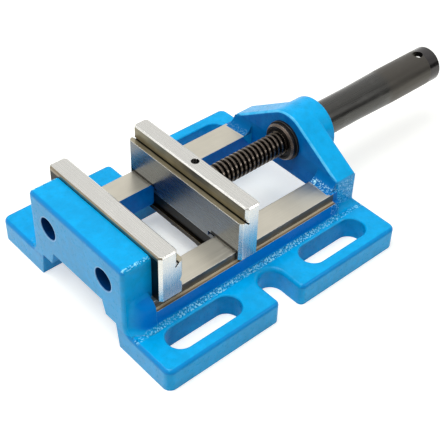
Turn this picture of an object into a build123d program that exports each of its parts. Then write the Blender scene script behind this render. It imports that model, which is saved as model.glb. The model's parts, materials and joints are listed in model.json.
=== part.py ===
from build123d import *
from math import radians, tan
import os

os.makedirs("parts", exist_ok=True)

# A drill press vise, in millimetres. The origin lies on the underside of the base, at the centre of
# its four slots. +X runs along the spindle from the fixed jaw to the handle, and +Z is up. Left is +Y,
# as seen by someone who looks along +X.

# Base flanges, with four long slots and a notch in each side
base_length = 212.0
flange_width = 36.0
base_thickness = 18.0
base_corner_radius = 6.0
casting_edge_radius = 3.0
slot_width = 20.0
slot_length = 60.0
slot_spacing_x = 120.0
slot_to_body = 16.0
slot_edge_chamfer = 0.8
notch_width = 20.0
notch_depth = 29.0
notch_mouth_radius = 4.0

# Body between the flanges, with a ground way along each side and a window between them
body_width = 118.0
body_setback = 15.0
flange_fillet_radius = 4.5
way_width = 112.0
way_height = 38.5
way_side_height = 7.0
way_thickness = 18.5
window_width = 70.0
window_web = 7.5
shelf_width = 6.5
channel_draft = 8.0

# Front block that backs the fixed jaw plate
block_length = 22.5
block_width = 102.0
block_drop = 4.0
block_fillet_radius = 6.0
arch_width = 55.0
arch_rise = 11.0
arch_flare = 3.0
screw_bore_diameter = 17.0
screw_bore_floor = 4.5

# Rear wall that carries the spindle
wall_setback = 4.0
wall_thickness = 20.0
wall_width = 108.0
wall_shoulder_rise = 6.5
wall_edge_radius = 2.5
wall_root_radius = 9.0
wall_channel_rise = 6.0
boss_wall = 9.0
boss_length = 9.0

# Jaws
jaw_width = 120.0
jaw_height = 37.5
jaw_step_depth = 4.5
jaw_step_height = 10.8
jaw_relief_width = 1.1
jaw_relief_length = 3.6
jaw_end_chamfer = 2.0
jaw_edge_chamfer = 1.0
plate_thickness = 19.0
groove_height = 11.0
groove_width = 13.0
groove_depth = 3.5
jaw_thickness = 17.0
jaw_opening = 48.2
jaw_opening_most = 120.0
leg_length = 5.5
leg_relief_width = 1.2
leg_relief_height = 1.0
tongue_width = 55.0
tongue_length = 4.5

# Guide block and keeper plate, which hold the moving jaw down
guide_length = 22.7
guide_setback = 2.3
keeper_length = 25.0
keeper_setback = 0.5
keeper_thickness = 4.4
keeper_edge_chamfer = 0.6

# Spindle, threaded sleeve and handle
spindle_rise = 13.8
spindle_diameter = 18.0
spindle_length = 161.0
spindle_bore_depth = 11.0
spindle_end_chamfer = 1.0
lock_groove_spare = 0.4
lock_groove_depth = 1.2
sleeve_flange_diameter = 29.0
sleeve_flange_thickness = 4.0
sleeve_flange_bevel = 1.4
sleeve_recess_diameter = 23.5
sleeve_recess_depth = 1.2
journal_diameter = 24.0
spigot_diameter = 22.0
spigot_length = 22.0
bush_wall = 2.0
front_washer_diameter = 31.0
front_washer_thickness = 2.0
rear_washer_diameter = 36.0
rear_washer_thickness = 2.5
handle_diameter = 29.0
handle_neck_diameter = 27.2
handle_neck_length = 40.0
handle_taper_length = 40.0
handle_bore_diameter = 20.0
handle_rim_chamfer = 1.5
handle_front_chamfer = 0.8
cross_hole_diameter = 8.5
cross_hole_gap = 3.25
cross_hole_to_end = 15.0

# Fasteners
plate_screw_diameter = 8.0
plate_screw_length = 16.0
plate_screw_spacing = 61.0
plate_screw_rise = 13.0
cap_head_diameter = 13.0
cap_head_height = 8.0
hex_socket = 6.0
lock_washer_thickness = 2.0
tapped_hole_spare = 2.5
keeper_screw_diameter = 8.0
keeper_screw_length = 35.0
keeper_screw_spacing = 28.0
low_head_diameter = 13.0
low_head_height = 5.0
low_head_seat_depth = 2.3
low_hex_socket = 5.0
dowel_diameter = 5.0
dowel_length = 28.0
dowel_spacing = 46.0
spindle_lock_diameter = 6.0
spindle_lock_sink = 5.9
spindle_lock_setback = 5.5
spindle_lock_socket = 3.0
handle_lock_diameter = 5.0
handle_lock_depth = 1.0
handle_lock_sink = 0.3
handle_lock_setback = 11.0
handle_lock_socket = 2.5
head_chamfer = 0.6
grub_chamfer = 0.5

# Clearances
slide_clearance = 0.05
side_clearance = 0.10
keeper_clearance = 0.10
keeper_side_gap = 0.7
running_clearance = 0.05
thread_clearance = 0.05
screw_hole_clearance = 0.5
thrust_float = 0.05

# How near to a level or station an edge lies that is picked by its place
pick_band = 0.01

# Widths across the base
base_width = body_width + 2 * flange_width
slot_spacing_y = body_width + 2 * slot_to_body

# Stations along X
base_front = -base_length / 2
base_rear = base_length / 2
plate_back = base_front + block_length
plate_face = plate_back + plate_thickness
jaw_face = plate_face + jaw_opening
jaw_back = jaw_face + jaw_thickness
jaw_middle = jaw_face + jaw_thickness / 2
jaw_travel_left = jaw_opening_most - jaw_opening
wall_rear = base_rear - wall_setback
wall_front = wall_rear - wall_thickness
ways_end = wall_front - wall_root_radius
boss_rear = wall_rear + boss_length
spindle_tip = jaw_back - spindle_bore_depth
spindle_end = spindle_tip + spindle_length
lock_station = jaw_back - spindle_lock_setback
sleeve_flange_back = wall_front - front_washer_thickness - thrust_float
sleeve_front = sleeve_flange_back - sleeve_flange_thickness
handle_front = boss_rear + rear_washer_thickness + thrust_float
spindle_end_opened = spindle_end + jaw_travel_left
cross_hole_station = spindle_end_opened + cross_hole_gap + cross_hole_diameter / 2
handle_end = cross_hole_station + cross_hole_to_end
handle_lock_station = handle_front + handle_lock_setback
screw_seat = plate_back - screw_bore_floor
plate_screw_grip = plate_screw_length - lock_washer_thickness - screw_bore_floor

# Levels along Z
ledge_height = way_height - way_side_height
shelf_height = way_height - way_thickness
jaw_foot = way_height + slide_clearance
jaw_top = way_height + jaw_height
step_ledge = jaw_top - jaw_step_height
guide_top = jaw_foot - tongue_length
keeper_top = shelf_height - keeper_clearance
keeper_bottom = keeper_top - keeper_thickness
spindle_height = way_height + spindle_rise
plate_screw_height = way_height + plate_screw_rise
block_height = jaw_top - block_drop
wall_shoulder = way_height + wall_shoulder_rise
low_head_seat = keeper_bottom + low_head_seat_depth
keeper_screw_end = low_head_seat + keeper_screw_length
dowel_top = keeper_bottom + dowel_length

# Radii round the spindle
spindle_radius = spindle_diameter / 2
thread_bore_radius = spindle_radius + running_clearance
journal_radius = journal_diameter / 2
bush_bore_radius = journal_radius + running_clearance
bush_radius = bush_bore_radius + bush_wall
boss_radius = bush_radius + boss_wall
spigot_radius = spigot_diameter / 2
handle_radius = handle_diameter / 2
handle_neck_radius = handle_neck_diameter / 2
handle_bore_radius = handle_bore_diameter / 2

upright = (Align.CENTER, Align.MIN)
spindle_plane = Plane(origin=(0, 0, spindle_height), x_dir=(0, 1, 0), z_dir=(1, 0, 0))
handle_lock_planes = [
    Plane((handle_lock_station, 0, spindle_height), x_dir=(1, 0, 0), z_dir=outward)
    for outward in ((0, 1, 0), (0, 0, -1))
]


def flared_foot(width, radius):
    """Add to a cross-section a wall's foot, with a concave fillet onto the flange on each side."""
    Rectangle(width + 2 * radius, base_thickness + radius, align=upright)
    with Locations(
        (width / 2 + radius, base_thickness + radius),
        (-width / 2 - radius, base_thickness + radius),
    ):
        Circle(radius, mode=Mode.SUBTRACT)


def hexagon(across_flats):
    """Draw a hexagon of the given width across its flats, for a screw's socket."""
    RegularPolygon(across_flats / 2, 6, major_radius=False)


def wall_hull():
    """Draw the rear wall's outline, with flanks that run down from the spindle to two shoulders."""
    with Locations((0, spindle_height)):
        Circle(boss_radius)
    Rectangle(wall_width, wall_shoulder, align=upright)
    make_hull()


# The cast root that rises from the ends of the ways to the rear wall
with BuildPart() as wall_root:
    with BuildSketch(Plane.YZ.offset(ways_end)):
        wall_hull()
    extrude(amount=wall_root_radius)
    with BuildSketch(Plane.XZ.offset(-wall_width / 2)):
        with Locations((ways_end, shelf_height)):
            Rectangle(wall_root_radius, way_height + wall_root_radius - shelf_height, align=Align.MIN)
        with Locations((ways_end, way_height + wall_root_radius)):
            Circle(wall_root_radius, mode=Mode.SUBTRACT)
    extrude(amount=wall_width, mode=Mode.INTERSECT)

# The cast body
with BuildPart() as body_casting:
    with BuildSketch():
        RectangleRounded(base_length, base_width, base_corner_radius)
        with Locations((0, base_width / 2), (0, -base_width / 2)):
            Rectangle(notch_width, 2 * notch_depth - notch_width, mode=Mode.SUBTRACT)
        notch_centre = base_width / 2 - notch_depth + notch_width / 2
        with Locations((0, notch_centre), (0, -notch_centre)):
            Circle(notch_width / 2, mode=Mode.SUBTRACT)
    extrude(amount=base_thickness)
    mouth_corners = body_casting.edges().filter_by(Axis.Z).filter_by(
        lambda e: abs(abs(e.center().X) - notch_width / 2) < pick_band
        and abs(abs(e.center().Y) - base_width / 2) < pick_band
    )
    fillet(mouth_corners, notch_mouth_radius)

    # The block behind the fixed jaw
    with BuildSketch(Plane.YZ.offset(base_front)):
        flared_foot(block_width, block_fillet_radius)
        Rectangle(block_width, block_height, align=upright)
    extrude(amount=block_length)
    block_foot = block_width / 2 + block_fillet_radius
    flange_rim = body_casting.edges().filter_by(
        lambda e: abs(e.center().Z - base_thickness) < pick_band
        and (abs(e.center().Y) > block_foot + pick_band or e.center().X > plate_back + pick_band)
    )
    block_front = body_casting.edges().filter_by(
        lambda e: abs(e.center().X - base_front) < pick_band
        and e.center().Z > base_thickness + pick_band
    )
    block_sides = body_casting.edges().filter_by(Axis.X).filter_by(
        lambda e: abs(e.center().Z - block_height) < pick_band
    )
    fillet(flange_rim + block_front + block_sides, casting_edge_radius)

    # The walls under the ways, the ways, and the ledge along their outer sides
    with BuildSketch(Plane.YZ.offset(base_front + body_setback)):
        flared_foot(body_width, flange_fillet_radius)
        Rectangle(body_width, ledge_height, align=upright)
        Rectangle(way_width, way_height, align=upright)
    extrude(amount=wall_front - base_front - body_setback)

    # The rear wall, its root and the boss behind it
    with BuildSketch(Plane.YZ.offset(wall_front)):
        wall_hull()
    extrude(amount=wall_thickness)
    wall_outline = body_casting.edges().filter_by(
        lambda e: (abs(e.center().X - wall_front) < pick_band or abs(e.center().X - wall_rear) < pick_band)
        and e.center().Z > way_height + pick_band
    )
    fillet(wall_outline, wall_edge_radius)
    with BuildSketch(Plane.YZ.offset(wall_front)):
        flared_foot(wall_width, flange_fillet_radius)
    extrude(amount=wall_thickness)
    with BuildSketch(spindle_plane.offset(wall_front + wall_edge_radius)):
        Circle(boss_radius)
    extrude(amount=boss_rear - wall_front - wall_edge_radius)
    add(wall_root.part)

    # The window between the ways, and the channel under them that is open at both ends
    with BuildSketch(Plane.XY):
        with Locations(((plate_back + window_web + wall_front) / 2, 0)):
            Rectangle(wall_front - plate_back - window_web, window_width)
    extrude(amount=jaw_top, mode=Mode.SUBTRACT)
    with BuildSketch(Plane.YZ.offset(base_front)):
        shelf = window_width / 2 + shelf_width
        foot = shelf + shelf_height * tan(radians(channel_draft))
        with BuildLine():
            Polyline((-foot, 0), (-shelf, shelf_height), (shelf, shelf_height), (foot, 0), close=True)
        make_face()
    extrude(amount=base_length, mode=Mode.SUBTRACT)
    with BuildSketch(Plane.YZ.offset(base_front)):
        with BuildLine():
            arch_foot = arch_width / 2 + arch_flare
            arch_top = shelf_height + arch_rise
            Polyline(
                (-arch_foot, shelf_height),
                (-arch_width / 2, arch_top),
                (arch_width / 2, arch_top),
                (arch_foot, shelf_height),
                close=True,
            )
        make_face()
    extrude(amount=block_length + window_web, mode=Mode.SUBTRACT)
    with BuildSketch(Plane.YZ.offset(wall_front)):
        Rectangle(window_width, shelf_height + wall_channel_rise, align=upright)
    extrude(amount=wall_thickness + wall_setback, mode=Mode.SUBTRACT)

    # Slots, screw bores and the bore for the spindle's bush
    with BuildSketch(Plane.XY):
        with GridLocations(slot_spacing_x, slot_spacing_y, 2, 2):
            SlotOverall(slot_length, slot_width)
    extrude(amount=base_thickness, mode=Mode.SUBTRACT)
    slot_centre_y = slot_spacing_y / 2
    slot_rims = body_casting.edges().filter_by(
        lambda e: abs(e.center().Z - base_thickness) < pick_band
        and abs(abs(e.center().X) - slot_spacing_x / 2) < slot_length / 2 - pick_band
        and abs(abs(e.center().Y) - slot_centre_y) < slot_width / 2 + pick_band
    )
    chamfer(slot_rims, slot_edge_chamfer)
    with Locations(Plane((base_front, 0, plate_screw_height), x_dir=(0, 1, 0), z_dir=(-1, 0, 0))):
        with GridLocations(plate_screw_spacing, 0, 2, 1):
            CounterBoreHole(
                (plate_screw_diameter + screw_hole_clearance) / 2,
                screw_bore_diameter / 2,
                block_length - screw_bore_floor,
                depth=block_length,
            )
    with BuildSketch(spindle_plane.offset(wall_front)):
        Circle(bush_radius)
    extrude(amount=boss_rear - wall_front, mode=Mode.SUBTRACT)

body_casting.part.label = "body_casting"
export_step(body_casting.part, "parts/body_casting.step")


# The fixed jaw plate, with a step along its top edge and a groove along its face for round stock
with BuildPart() as fixed_jaw_plate:
    with BuildSketch(Plane.XZ.offset(-jaw_width / 2)):
        with Locations((plate_back, way_height)):
            Rectangle(plate_thickness, jaw_height, align=Align.MIN)
        with Locations((plate_face, jaw_top)):
            Rectangle(jaw_step_depth, jaw_step_height, align=Align.MAX, mode=Mode.SUBTRACT)
    extrude(amount=jaw_width)
    chamfer(fixed_jaw_plate.edges().filter_by(Axis.Z), jaw_end_chamfer)
    chamfer(fixed_jaw_plate.faces().sort_by(Axis.Z)[-1].edges(), jaw_edge_chamfer)
    with BuildSketch(Plane.XZ.offset(-jaw_width / 2)):
        groove_level = way_height + groove_height
        with BuildLine():
            Polyline(
                (plate_face, groove_level - groove_width / 2),
                (plate_face - groove_depth, groove_level),
                (plate_face, groove_level + groove_width / 2),
                close=True,
            )
        make_face()
        with Locations((plate_face - jaw_step_depth, step_ledge)):
            Rectangle(2 * jaw_relief_length, jaw_relief_width, rotation=45)
    extrude(amount=jaw_width, mode=Mode.SUBTRACT)
    with Locations(Plane((plate_back, 0, plate_screw_height), x_dir=(0, 1, 0), z_dir=(-1, 0, 0))):
        with GridLocations(plate_screw_spacing, 0, 2, 1):
            Hole(plate_screw_diameter / 2 + thread_clearance, depth=plate_screw_grip + tapped_hole_spare)

fixed_jaw_plate.part.label = "fixed_jaw_plate"
export_step(fixed_jaw_plate.part, "parts/fixed_jaw_plate.step")

# The two cap screws that hold the plate, each on a lock washer at the bottom of its bore
for side, sign in (("left", 1), ("right", -1)):
    screw_axis = Plane(
        (screw_seat, sign * plate_screw_spacing / 2, plate_screw_height),
        x_dir=(0, 1, 0),
        z_dir=(1, 0, 0),
    )
    with BuildPart() as fixed_jaw_washer:
        with BuildSketch(screw_axis.offset(-lock_washer_thickness)):
            Circle(cap_head_diameter / 2)
            Circle(plate_screw_diameter / 2 + thread_clearance, mode=Mode.SUBTRACT)
        extrude(amount=lock_washer_thickness)
    fixed_jaw_washer.part.label = f"fixed_jaw_washer_{side}"
    export_step(fixed_jaw_washer.part, f"parts/fixed_jaw_washer_{side}.step")

    with BuildPart() as fixed_jaw_screw:
        with BuildSketch(screw_axis.offset(-lock_washer_thickness - cap_head_height)):
            Circle(cap_head_diameter / 2)
        extrude(amount=cap_head_height)
        chamfer(fixed_jaw_screw.faces().sort_by(Axis.X)[0].edges(), head_chamfer)
        with BuildSketch(screw_axis.offset(-lock_washer_thickness)):
            Circle(plate_screw_diameter / 2)
        extrude(amount=plate_screw_length)
        with BuildSketch(screw_axis.offset(-lock_washer_thickness - cap_head_height)):
            hexagon(hex_socket)
        extrude(amount=cap_head_height / 2, mode=Mode.SUBTRACT)
    fixed_jaw_screw.part.label = f"fixed_jaw_screw_{side}"
    export_step(fixed_jaw_screw.part, f"parts/fixed_jaw_screw_{side}.step")

# The moving jaw, with a leg outside each way and a tongue between them
with BuildPart() as moving_jaw:
    with BuildSketch(Plane.YZ.offset(jaw_face)):
        with Locations((0, jaw_foot)):
            Rectangle(jaw_width, jaw_top - jaw_foot, align=upright)
        with Locations((0, jaw_foot - leg_length)):
            Rectangle(jaw_width, leg_length, align=upright)
            Rectangle(way_width + 2 * slide_clearance, leg_length, align=upright, mode=Mode.SUBTRACT)
        with Locations((way_width / 2, jaw_foot), (-way_width / 2, jaw_foot)):
            Rectangle(2 * leg_relief_width, 2 * leg_relief_height, mode=Mode.SUBTRACT)
        with Locations((0, jaw_foot - tongue_length)):
            Rectangle(tongue_width, tongue_length, align=upright)
    extrude(amount=jaw_thickness)
    with BuildSketch(Plane.XZ.offset(-jaw_width / 2)):
        with Locations((jaw_face, jaw_top)):
            Rectangle(jaw_step_depth, jaw_step_height, align=(Align.MIN, Align.MAX))
    extrude(amount=jaw_width, mode=Mode.SUBTRACT)
    jaw_end_edges = moving_jaw.edges().filter_by(Axis.Z).filter_by(
        lambda e: abs(abs(e.center().Y) - jaw_width / 2) < pick_band
    )
    chamfer(jaw_end_edges, jaw_end_chamfer)
    chamfer(moving_jaw.faces().sort_by(Axis.Z)[-1].edges(), jaw_edge_chamfer)
    with BuildSketch(Plane.XZ.offset(-jaw_width / 2)):
        with Locations((jaw_face + jaw_step_depth, step_ledge)):
            Rectangle(2 * jaw_relief_length, jaw_relief_width, rotation=-45)
    extrude(amount=jaw_width, mode=Mode.SUBTRACT)
    with Locations(Plane((jaw_back, 0, spindle_height), x_dir=(0, 1, 0), z_dir=(1, 0, 0))):
        Hole(spindle_radius + thread_clearance, depth=spindle_bore_depth)
    with Locations(Plane((lock_station, 0, jaw_top), x_dir=(1, 0, 0), z_dir=(0, 0, 1))):
        Hole(spindle_lock_diameter / 2 + thread_clearance, depth=jaw_top - spindle_height)
    with Locations(Plane((jaw_middle, 0, guide_top), x_dir=(1, 0, 0), z_dir=(0, 0, -1))):
        with GridLocations(0, keeper_screw_spacing, 1, 2):
            Hole(
                keeper_screw_diameter / 2 + thread_clearance,
                depth=keeper_screw_end - guide_top + tapped_hole_spare,
            )
        with GridLocations(0, dowel_spacing, 1, 2):
            Hole(dowel_diameter / 2, depth=dowel_top - guide_top)

moving_jaw.part.label = "moving_jaw"
export_step(moving_jaw.part, "parts/moving_jaw.step")

# The guide block under the jaw, which runs between the ways
with BuildPart() as guide_block:
    with BuildSketch(Plane.XY.offset(keeper_top)):
        with Locations((jaw_face + guide_setback, 0)):
            Rectangle(guide_length, window_width - 2 * side_clearance, align=(Align.MIN, Align.CENTER))
        with Locations((jaw_middle, 0)):
            with GridLocations(0, keeper_screw_spacing, 1, 2):
                Circle((keeper_screw_diameter + screw_hole_clearance) / 2, mode=Mode.SUBTRACT)
            with GridLocations(0, dowel_spacing, 1, 2):
                Circle(dowel_diameter / 2, mode=Mode.SUBTRACT)
    extrude(amount=guide_top - keeper_top)

guide_block.part.label = "guide_block"
export_step(guide_block.part, "parts/guide_block.step")

# The keeper plate, whose ends reach under the ways
with BuildPart() as keeper_plate:
    with BuildSketch(Plane.XY.offset(keeper_bottom)):
        with Locations((jaw_face + keeper_setback, 0)):
            Rectangle(
                keeper_length,
                window_width + 2 * (shelf_width - keeper_side_gap),
                align=(Align.MIN, Align.CENTER),
            )
    extrude(amount=keeper_thickness)
    chamfer(keeper_plate.faces().sort_by(Axis.Z)[0].edges(), keeper_edge_chamfer)
    with Locations(Plane((jaw_middle, 0, keeper_bottom), x_dir=(1, 0, 0), z_dir=(0, 0, -1))):
        with GridLocations(0, keeper_screw_spacing, 1, 2):
            CounterBoreHole(
                (keeper_screw_diameter + screw_hole_clearance) / 2,
                (low_head_diameter + screw_hole_clearance) / 2,
                low_head_seat_depth,
                depth=keeper_thickness,
            )
        with GridLocations(0, dowel_spacing, 1, 2):
            Hole(dowel_diameter / 2, depth=keeper_thickness)

keeper_plate.part.label = "keeper_plate"
export_step(keeper_plate.part, "parts/keeper_plate.step")

# The low-head screws and the dowels that join keeper, guide block and jaw
for side, sign in (("left", 1), ("right", -1)):
    keeper_axis = Plane((jaw_middle, sign * keeper_screw_spacing / 2, low_head_seat))
    with BuildPart() as keeper_screw:
        with BuildSketch(keeper_axis.offset(-low_head_height)):
            Circle(low_head_diameter / 2)
        extrude(amount=low_head_height)
        chamfer(keeper_screw.faces().sort_by(Axis.Z)[0].edges(), head_chamfer)
        with BuildSketch(keeper_axis):
            Circle(keeper_screw_diameter / 2)
        extrude(amount=keeper_screw_length)
        with BuildSketch(keeper_axis.offset(-low_head_height)):
            hexagon(low_hex_socket)
        extrude(amount=low_head_height / 2, mode=Mode.SUBTRACT)
    keeper_screw.part.label = f"keeper_screw_{side}"
    export_step(keeper_screw.part, f"parts/keeper_screw_{side}.step")

    with BuildPart() as keeper_dowel:
        with BuildSketch(Plane((jaw_middle, sign * dowel_spacing / 2, keeper_bottom))):
            Circle(dowel_diameter / 2)
        extrude(amount=dowel_length)
    keeper_dowel.part.label = f"keeper_dowel_{side}"
    export_step(keeper_dowel.part, f"parts/keeper_dowel_{side}.step")

# The spindle, with a groove near its tip for the lock screw
with BuildPart() as spindle_screw:
    with BuildSketch(spindle_plane.offset(spindle_tip)):
        Circle(spindle_radius)
    extrude(amount=spindle_length)
    chamfer(spindle_screw.edges().filter_by(GeomType.CIRCLE), spindle_end_chamfer)
    lock_groove_width = spindle_lock_diameter + lock_groove_spare
    with BuildSketch(spindle_plane.offset(lock_station - lock_groove_width / 2)):
        Circle(spindle_radius)
        Circle(spindle_radius - lock_groove_depth, mode=Mode.SUBTRACT)
    extrude(amount=lock_groove_width, mode=Mode.SUBTRACT)

spindle_screw.part.label = "spindle_screw"
export_step(spindle_screw.part, "parts/spindle_screw.step")

# The grub screw in the jaw's top that holds the spindle by its groove
with BuildPart() as spindle_lock_screw:
    lock_foot = spindle_height + spindle_radius - lock_groove_depth
    lock_axis = Plane((lock_station, 0, lock_foot))
    lock_length = jaw_top - spindle_lock_sink - lock_foot
    with BuildSketch(lock_axis):
        Circle(spindle_lock_diameter / 2)
    extrude(amount=lock_length)
    chamfer(spindle_lock_screw.edges().filter_by(GeomType.CIRCLE), grub_chamfer)
    with BuildSketch(lock_axis.offset(lock_length)):
        hexagon(spindle_lock_socket)
    extrude(amount=-spindle_lock_socket, mode=Mode.SUBTRACT)

spindle_lock_screw.part.label = "spindle_lock_screw"
export_step(spindle_lock_screw.part, "parts/spindle_lock_screw.step")

# The threaded sleeve: a flange in front of the wall, a journal through it and a spigot in the handle
with BuildPart() as threaded_sleeve:
    with BuildSketch(spindle_plane.offset(sleeve_front)):
        Circle(sleeve_flange_diameter / 2)
    extrude(amount=sleeve_flange_thickness)
    chamfer(threaded_sleeve.faces().sort_by(Axis.X)[0].edges(), sleeve_flange_bevel)
    with BuildSketch(spindle_plane.offset(sleeve_front)):
        Circle(sleeve_recess_diameter / 2)
    extrude(amount=sleeve_recess_depth, mode=Mode.SUBTRACT)
    with BuildSketch(spindle_plane.offset(sleeve_flange_back)):
        Circle(journal_radius)
    extrude(amount=handle_front - sleeve_flange_back)
    with BuildSketch(spindle_plane.offset(handle_front)):
        Circle(spigot_radius)
    extrude(amount=spigot_length)
    with BuildSketch(spindle_plane.offset(sleeve_front)):
        Circle(thread_bore_radius)
    extrude(amount=handle_front + spigot_length - sleeve_front, mode=Mode.SUBTRACT)
    for lock_plane in handle_lock_planes:
        with Locations(lock_plane.offset(spigot_radius)):
            Hole(handle_lock_diameter / 2 + thread_clearance, depth=handle_lock_depth)

threaded_sleeve.part.label = "threaded_sleeve"
export_step(threaded_sleeve.part, "parts/threaded_sleeve.step")

# The bronze bush that is pressed into the rear wall
with BuildPart() as sleeve_bush:
    with BuildSketch(spindle_plane.offset(wall_front)):
        Circle(bush_radius)
        Circle(bush_bore_radius, mode=Mode.SUBTRACT)
    extrude(amount=boss_rear - wall_front)

sleeve_bush.part.label = "sleeve_bush"
export_step(sleeve_bush.part, "parts/sleeve_bush.step")

# The thrust washers on the wall's front and on its boss
with BuildPart() as thrust_washer_front:
    with BuildSketch(spindle_plane.offset(wall_front - front_washer_thickness)):
        Circle(front_washer_diameter / 2)
        Circle(bush_bore_radius, mode=Mode.SUBTRACT)
    extrude(amount=front_washer_thickness)

thrust_washer_front.part.label = "thrust_washer_front"
export_step(thrust_washer_front.part, "parts/thrust_washer_front.step")

with BuildPart() as thrust_washer_rear:
    with BuildSketch(spindle_plane.offset(boss_rear)):
        Circle(rear_washer_diameter / 2)
        Circle(bush_bore_radius, mode=Mode.SUBTRACT)
    extrude(amount=rear_washer_thickness)

thrust_washer_rear.part.label = "thrust_washer_rear"
export_step(thrust_washer_rear.part, "parts/thrust_washer_rear.step")

# The handle, a tube that thickens behind its neck and takes in the spindle's end as the jaw opens
with BuildPart() as handle_tube:
    with BuildSketch(Plane.XZ):
        neck_end = handle_front + handle_neck_length
        with BuildLine():
            Polyline(
                (handle_front, spindle_height),
                (handle_front, spindle_height + handle_neck_radius),
                (neck_end, spindle_height + handle_neck_radius),
                (neck_end + handle_taper_length, spindle_height + handle_radius),
                (handle_end, spindle_height + handle_radius),
                (handle_end, spindle_height),
                close=True,
            )
        make_face()
    revolve(axis=Axis((0, 0, spindle_height), (1, 0, 0)))
    chamfer(handle_tube.faces().sort_by(Axis.X)[-1].edges(), handle_rim_chamfer)
    chamfer(handle_tube.faces().sort_by(Axis.X)[0].edges(), handle_front_chamfer)
    with BuildSketch(spindle_plane.offset(handle_front)):
        Circle(handle_bore_radius)
    extrude(amount=handle_end - handle_front, mode=Mode.SUBTRACT)
    with BuildSketch(spindle_plane.offset(handle_front)):
        Circle(spigot_radius + thread_clearance)
    extrude(amount=spigot_length, mode=Mode.SUBTRACT)
    with BuildSketch(Plane((cross_hole_station, 0, spindle_height - handle_radius))):
        Circle(cross_hole_diameter / 2)
    extrude(amount=handle_diameter, mode=Mode.SUBTRACT)
    for lock_plane in handle_lock_planes:
        with Locations(lock_plane.offset(handle_neck_radius)):
            Hole(handle_lock_diameter / 2 + thread_clearance, depth=handle_neck_radius)

handle_tube.part.label = "handle_tube"
export_step(handle_tube.part, "parts/handle_tube.step")

# The grub screws that lock the handle to the sleeve's spigot
for place, lock_plane in zip(("side", "lower"), handle_lock_planes):
    with BuildPart() as handle_lock_screw:
        with BuildSketch(lock_plane.offset(spigot_radius - handle_lock_depth)):
            Circle(handle_lock_diameter / 2)
        extrude(amount=handle_neck_radius - handle_lock_sink - spigot_radius + handle_lock_depth)
        with BuildSketch(lock_plane.offset(handle_neck_radius - handle_lock_sink)):
            hexagon(handle_lock_socket)
        extrude(amount=-handle_lock_socket / 2, mode=Mode.SUBTRACT)
    handle_lock_screw.part.label = f"handle_lock_screw_{place}"
    export_step(handle_lock_screw.part, f"parts/handle_lock_screw_{place}.step")
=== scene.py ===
"""Visual model of a drill press vise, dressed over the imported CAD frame.

Every length is in metres and every place is in the frame's own axes: +X runs along the spindle from
the fixed jaw to the handle, +Y to the left and +Z up.
"""

import functools
import json
import logging
import math
from abc import ABC, abstractmethod
from dataclasses import dataclass
from enum import Enum
from typing import Any, Callable, Hashable, Iterable, NamedTuple, Sequence, Union

import bmesh
import bpy
from mathutils import Matrix, Vector

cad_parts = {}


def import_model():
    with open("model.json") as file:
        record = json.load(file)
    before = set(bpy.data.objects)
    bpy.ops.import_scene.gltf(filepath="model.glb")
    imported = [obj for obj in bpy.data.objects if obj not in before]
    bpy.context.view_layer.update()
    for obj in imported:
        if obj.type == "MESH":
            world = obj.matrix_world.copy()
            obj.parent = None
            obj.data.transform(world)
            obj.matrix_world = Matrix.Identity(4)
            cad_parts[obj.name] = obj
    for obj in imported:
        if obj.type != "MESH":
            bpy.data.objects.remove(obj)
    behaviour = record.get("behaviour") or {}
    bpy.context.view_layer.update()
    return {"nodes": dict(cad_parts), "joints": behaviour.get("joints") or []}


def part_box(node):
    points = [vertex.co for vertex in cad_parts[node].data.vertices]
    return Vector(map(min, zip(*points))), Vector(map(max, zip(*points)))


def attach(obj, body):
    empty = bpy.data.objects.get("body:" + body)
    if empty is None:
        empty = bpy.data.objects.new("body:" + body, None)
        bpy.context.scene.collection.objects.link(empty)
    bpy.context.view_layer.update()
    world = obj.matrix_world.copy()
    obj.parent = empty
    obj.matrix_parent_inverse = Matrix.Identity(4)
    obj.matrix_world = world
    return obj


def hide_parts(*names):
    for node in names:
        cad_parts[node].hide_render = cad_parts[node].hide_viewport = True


LOG = logging.getLogger("vise")
MM = 0.001
# Edges that turn by more degrees than this stay sharp.
SHARP_ANGLE = 32.0

Colour = tuple[float, float, float]
Point = tuple[float, float, float]
# A span is the start and the end of a rise from 0 to 1.
Span = tuple[float, float]
# A band is a low and a high end, with the width of its soft edges.
Band = tuple[float, float, float]

WHITE: Colour = (1.0, 1.0, 1.0)


class Grain(Enum):
    """Direction of a surface's fine lines, as the waves per metre of their noise on each axis."""

    ALONG_X = (25.0, 1800.0, 1800.0)
    ALONG_Y = (1800.0, 25.0, 1800.0)
    ALONG_Z = (1800.0, 1800.0, 25.0)
    ROUND_X = (1400.0, 14.0, 14.0)
    STREAKS_X = (22.0, 480.0, 480.0)
    NONE = (220.0, 220.0, 220.0)


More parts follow.
